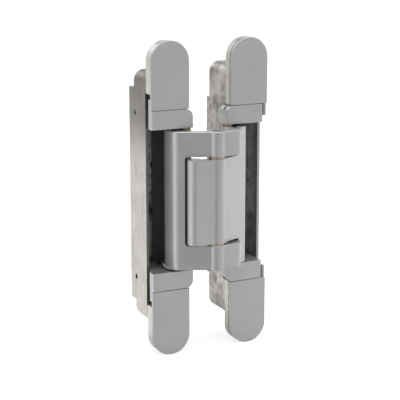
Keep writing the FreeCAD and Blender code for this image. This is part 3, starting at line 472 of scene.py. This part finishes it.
def give(material, *names):
    """Gives a material to nodes by name."""
    for name in names:
        for slot in nodes[name].material_slots:
            slot.material = material
    print(material.name, "->", ", ".join(names))


give(
    satin_metal("satin_metal", (0.35, 0.35, 0.35)),
    "frame_upper_cover", "frame_lower_cover", "door_upper_cover", "door_lower_cover",
    "frame_upper_block", "frame_lower_block", "door_upper_block", "door_lower_block",
    "outer_arm", "inner_arm",
)

# %% [markdown]
# ## Raw casting
#
# The casings are buried in wood, so nobody polishes them. They are a warmer grey than the plating,
# streaky, and stained where the mould was oiled. The frame's casing is cleaner, and its upper end gets
# painted shade; the door's casing is blotched all over and gets only a little. The flanges are paler than
# the bodies. Inside, both get painted shade of their own, with a plain rim and worn streaks deep down.


# %% Raw casting
FLANGE_BACK = 0.0068
# painted shade: between these heights the casing's colour darkens towards its upper end
PAINTED_TOP_SHADE_FROM = 0.022
PAINTED_TOP_SHADE_TO = 0.052


def blended(tree, mask, first, second):
    """Goes from one colour socket to another where a mask is 1."""
    made = add_node(tree, "Mix", data_type="RGBA")
    join(tree, mask, made.inputs[0])
    join(tree, first, made.inputs[6])
    join(tree, second, made.inputs[7])
    return made.outputs[2]


def multiplied(tree, factor, colour):
    """A colour socket times a factor socket."""
    made = add_node(tree, "VectorMath", operation="SCALE")
    join(tree, colour, made.inputs[0])
    join(tree, factor, made.inputs["Scale"])
    return made.outputs[0]


def raw_casting(
    name, light, dark, flange, stain_share, stain_reach,
    rim, hollow_shade_light, hollow_shade_dark, hollow, painted_top_shade, line,
):
    """Unpolished die-cast zinc with flow streaks, stains, a paler flange, and painted shade at its upper end
    and in its hollow.
    """
    material, tree, shader = new_finish(name)
    marks = place_group(tree, streak_group)
    streaks = between(tree, marks.outputs["Streaks"], 0.0, 1.0)
    stains = between(tree, marks.outputs["Stains"], 0.0, 1.0, stain_reach)
    both = add_node(tree, "Mix", data_type="FLOAT")
    set_inputs(both, Factor=stain_share)
    join(tree, streaks, both.inputs[2])
    join(tree, stains, both.inputs[3])
    skin = tinted(tree, both.outputs[0], dark, light)
    # painted shade: the casing darkens towards its upper end, and the stains make the change ragged
    axes = add_node(tree, "SeparateXYZ")
    join(tree, add_node(tree, "TexCoord").outputs["Object"], axes.inputs[0])
    height = arithmetic(tree, "ADD", axes.outputs["Z"], arithmetic(tree, "MULTIPLY", stains, 0.012))
    upper = add_node(tree, "MapRange", interpolation_type="SMOOTHSTEP")
    set_inputs(upper, From_Min=PAINTED_TOP_SHADE_FROM, From_Max=PAINTED_TOP_SHADE_TO)
    join(tree, height, upper.inputs["Value"])
    shaded = add_node(tree, "Mix", data_type="RGBA", blend_type="MULTIPLY")
    join(tree, upper.outputs[0], shaded.inputs[0])
    join(tree, skin, shaded.inputs[6])
    shaded.inputs[7].default_value = grey(painted_top_shade)
    # the flange lies in front of its back face, which is 6.9 mm deep
    in_flange = arithmetic(tree, "LESS_THAN", axes.outputs["Y"], FLANGE_BACK)
    pale = tinted(tree, both.outputs[0], shade_of(flange, 0.75), flange)
    outer = blended(tree, in_flange, shaded.outputs[2], pale)
    # painted shade in the hollow, mottled by the streaks and stains; the rim behind the front edge is a plain
    # tone
    worn = between(tree, both.outputs[0], 0.0, 1.0)
    painted_hollow_shade = tinted(tree, worn, hollow_shade_dark, hollow_shade_light)
    edge = add_node(tree, "RGB")
    edge.outputs[0].default_value = (*rim, 1)
    masks = place_group(tree, hollow_group, **hollow)
    painted_hollow_shade = blended(tree, masks.outputs["Deep"], edge.outputs[0], painted_hollow_shade)
    whole = blended(tree, masks.outputs["Inside"], outer, painted_hollow_shade)
    # painted shade: a thin dark line where the flange meets the body or the cover meets the flange
    seam = place_group(tree, shade_line_group, **line)
    join(tree, multiplied(tree, seam.outputs["Factor"], whole), shader.inputs["Base Color"])
    join(tree, between(tree, marks.outputs["Stains"], 0.5, 0.32), shader.inputs["Roughness"])
    shader.inputs["Metallic"].default_value = 0.7
    add_bump(tree, shader, marks.outputs["Height"], 0.00006, 0.5)
    return material


give(
    raw_casting(
        "frame_casting",
        light=(0.46, 0.435, 0.405), dark=(0.29, 0.272, 0.253), flange=(0.54, 0.525, 0.5),
        stain_share=0.35, stain_reach=0.15,
        rim=(0.1, 0.1, 0.1), hollow_shade_light=(0.9, 0.9, 0.9), hollow_shade_dark=(0.05, 0.05, 0.05),
        hollow=dict(Middle=-0.0235, Half_height=0.0588),
        painted_top_shade=0.42, line=dict(Depth=0.0073, Half_width=0.0005, Darkness=0.5),
    ),
    "frame_case",
)
give(
    raw_casting(
        "door_casting",
        light=(0.52, 0.49, 0.45), dark=(0.1, 0.095, 0.09), flange=(0.5, 0.48, 0.45),
        stain_share=0.75, stain_reach=0.13,
        rim=(0.29, 0.29, 0.29), hollow_shade_light=(0.62, 0.62, 0.64), hollow_shade_dark=(0.34, 0.34, 0.35),
        hollow=dict(Middle=0.0235),
        painted_top_shade=0.9, line=dict(Depth=0.0019, Half_width=0.0005, Darkness=0.85),
    ),
    "door_case",
)


# %% [markdown]
# ## Plastic
#
# The guides are black moulded plastic. It isn't metallic: its colour is deep, and the gloss lies on top.


# %% Plastic
def moulded_plastic(name, colour, roughness, spread=0.1):
    """Moulded plastic with a fine spark-eroded texture."""
    material, tree, shader = new_finish(name)
    grain = place_group(tree, grain_group, Grain_per_metre=3200.0, Cloud_per_metre=140.0, Cloud_share=0.5)
    tone = between(tree, grain.outputs["Tone"], 0.0, 1.0)
    dark = shade_of(colour, 1 - spread)
    light = shade_of(colour, 1 + spread)
    paint(tree, shader, tone, dark, light, grain.outputs["Tone"], roughness, 0.06)
    add_bump(tree, shader, grain.outputs["Height"], 0.00003, 0.4)
    return material


give(moulded_plastic("black_plastic", (0.08, 0.08, 0.081), 0.42), "frame_guide", "door_guide")


# %% [markdown]
# ## Turned steel and bronze
#
# Pins and screws are turned steel, and the bushes, washers and spacer rings are bronze. The two lock
# screws are near black, as painted shade for the side holes in front of them. Turning leaves fine lines
# round the axis, which stands upright on the pins, so the lines are a noise squeezed flat: fine along Z and
# long around it. The thin slide plates are sheet metal, pale on their flat faces, with painted shade on
# their edges.


# %% Turned metal
def turned_metal(name, colour, roughness):
    """Turned metal with fine lines round an upright axis."""
    material, tree, shader = new_finish(name)
    marks = place_group(tree, streak_group, Streak_stretch=12.0, Streaks_per_metre=260.0)
    lines = between(tree, marks.outputs["Streaks"], 0.0, 1.0)
    dark = shade_of(colour, 0.82)
    light = shade_of(colour, 1.12)
    paint(tree, shader, lines, dark, light, marks.outputs["Stains"], roughness, 0.08)
    shader.inputs["Metallic"].default_value = 1.0
    add_bump(tree, shader, marks.outputs["Height"], 0.00003, 0.4)
    return material


def ground_plate(name, face, edge, roughness):
    """Sheet metal, pale on its flat faces, with painted shade on its edges."""
    material, tree, shader = new_finish(name)
    axes = add_node(tree, "SeparateXYZ")
    join(tree, add_node(tree, "TexCoord").outputs["Normal"], axes.inputs[0])
    flat = arithmetic(tree, "GREATER_THAN", arithmetic(tree, "ABSOLUTE", axes.outputs["Z"], 0.0), 0.7)
    grain = place_group(tree, grain_group, Grain_per_metre=2600.0, Cloud_per_metre=300.0, Cloud_share=0.6)
    tone = between(tree, grain.outputs["Tone"], 0.0, 1.0)
    worn = tinted(tree, tone, shade_of(face, 0.8), face)
    painted_shade_edges = tinted(tree, tone, shade_of(edge, 0.8), edge)
    # painted shade: the plate's upright edges are near black, and its flat faces are pale
    join(tree, blended(tree, flat, painted_shade_edges, worn), shader.inputs["Base Color"])
    rough = between(tree, grain.outputs["Tone"], roughness - 0.05, roughness + 0.05)
    join(tree, rough, shader.inputs["Roughness"])
    shader.inputs["Metallic"].default_value = 0.5
    return material


steel = turned_metal("turned_steel", (0.46, 0.46, 0.47), 0.3)
# painted shade: the lock screws are near black so the side holes in front of them look dark
painted_shade_steel = turned_metal("lock_screw_painted_shade", (0.03, 0.03, 0.031), 0.5)
sheet_metal = ground_plate("ground_plate", (0.85, 0.85, 0.84), (0.03, 0.03, 0.03), 0.45)
give(sheet_metal, "outer_arm_slide_plates", "inner_arm_slide_plates")
bronze = turned_metal("bearing_bronze", (0.34, 0.28, 0.215), 0.36)
give(
    bronze,
    "centre_washers", "door_pivot_washers", "frame_pivot_spacers",
    "outer_arm_bushes", "inner_arm_bush",
)
give(steel, *[n for n in nodes if n.endswith(("_pin", "_screws")) and n != "frame_lock_screws"])
give(painted_shade_steel, "frame_lock_screws")
